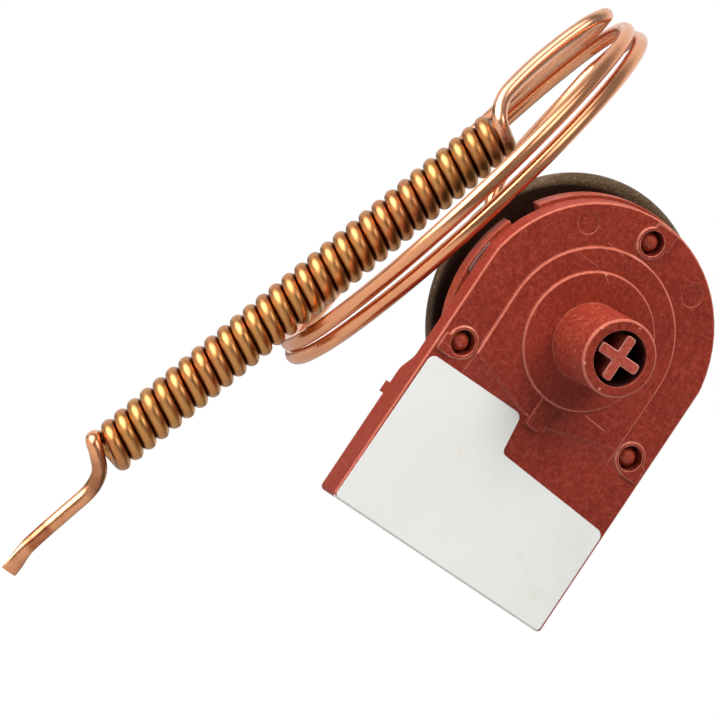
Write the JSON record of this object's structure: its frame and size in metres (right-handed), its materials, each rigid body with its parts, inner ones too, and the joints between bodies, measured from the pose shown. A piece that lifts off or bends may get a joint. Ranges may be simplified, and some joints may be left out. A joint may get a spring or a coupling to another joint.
{
  "type": "safety thermostat",
  "caption": "Three-pole safety thermostat: flat moulded case with reset button and terminals, pressure disc behind, coiled copper sensing tube.",
  "frame": {"origin": "on the axis of the button boss, in the plane of the raised ring that seats against a panel", "axes": "-Y along the button boss, out of the panel; +Z towards the round end of the case; +X to the right seen from the front"},
  "size_m": [0.0718, 0.0809, 0.1305],
  "materials": {
    "cover_moulding": "satin",
    "base_moulding": "satin",
    "button_moulding": "satin",
    "dark_moulding": "matte",
    "label_film": "satin",
    "copper": "satin",
    "olive_steel": "passivated",
    "steel": "satin",
    "spring_steel": "satin",
    "brass": "satin",
    "silver": "satin",
    "diaphragm_foil": "satin"
  },
  "bodies": {
    "case": {"front_cover": "cover_moulding", "base_housing": "base_moulding", "label": "label_film", "snap_spring": "spring_steel", "terminal_line_left": "brass", "terminal_line_centre": "brass", "terminal_line_right": "brass", "terminal_load_left": "brass", "terminal_load_centre": "brass", "terminal_load_right": "brass", "fixed_tips": "silver", "fulcrum_plate": "steel", "lever_pin": "steel", "diaphragm_front": "diaphragm_foil", "diaphragm_rear": "diaphragm_foil", "pressure_disc": "olive_steel", "disc_rivets": "steel", "ferrule": "brass", "copper_tube": "copper"},
    "button": {"reset_button": "button_moulding"},
    "carrier": {"contact_carrier": "dark_moulding", "reset_spring": "spring_steel", "bridge_spring_left": "spring_steel", "bridge_spring_centre": "spring_steel", "bridge_spring_right": "spring_steel"},
    "left_bridge": {"bridge_left": "brass", "bridge_tips_left": "silver"},
    "centre_bridge": {"bridge_centre": "brass", "bridge_tips_centre": "silver"},
    "right_bridge": {"bridge_right": "brass", "bridge_tips_right": "silver"},
    "lever": {"trip_lever": "steel", "calibration_screw": "brass"},
    "thrust": {"thrust_pin": "steel"}
  },
  "joints": [
    {"name": "button_press", "type": "slide", "parent": "case", "child": "button", "axis": [0, 1, 0], "range_m": [0, 0.0018], "stiffness_N_per_m": 300, "deforming": ["reset_spring"]},
    {"name": "contact_trip", "type": "slide", "parent": "case", "child": "carrier", "axis": [0, 1, 0], "range_m": [-0.0016, 0], "stiffness_N_per_m": 300, "deforming": ["snap_spring", "reset_spring"]},
    {"name": "bridge_left_give", "type": "slide", "parent": "carrier", "child": "left_bridge", "axis": [0, 1, 0], "range_m": [-0.0004, 0], "stiffness_N_per_m": 200, "deforming": ["bridge_spring_left"]},
    {"name": "bridge_centre_give", "type": "slide", "parent": "carrier", "child": "centre_bridge", "axis": [0, 1, 0], "range_m": [-0.0004, 0], "stiffness_N_per_m": 200, "deforming": ["bridge_spring_centre"]},
    {"name": "bridge_right_give", "type": "slide", "parent": "carrier", "child": "right_bridge", "axis": [0, 1, 0], "range_m": [-0.0004, 0], "stiffness_N_per_m": 200, "deforming": ["bridge_spring_right"]},
    {"name": "lever_swing", "type": "hinge", "parent": "case", "child": "lever", "pos_m": [0, 0.0082, 0.014], "axis": [1, 0, 0], "range_deg": [-2.28, 0]},
    {"name": "thrust_slide", "type": "slide", "parent": "case", "child": "thrust", "axis": [0, 1, 0], "range_m": [-0.0008, 0]}
  ],
  "couplings": [
    {"joint": "thrust_slide", "follows": "lever_swing", "m_per_rad": 0.0125}
  ]
}
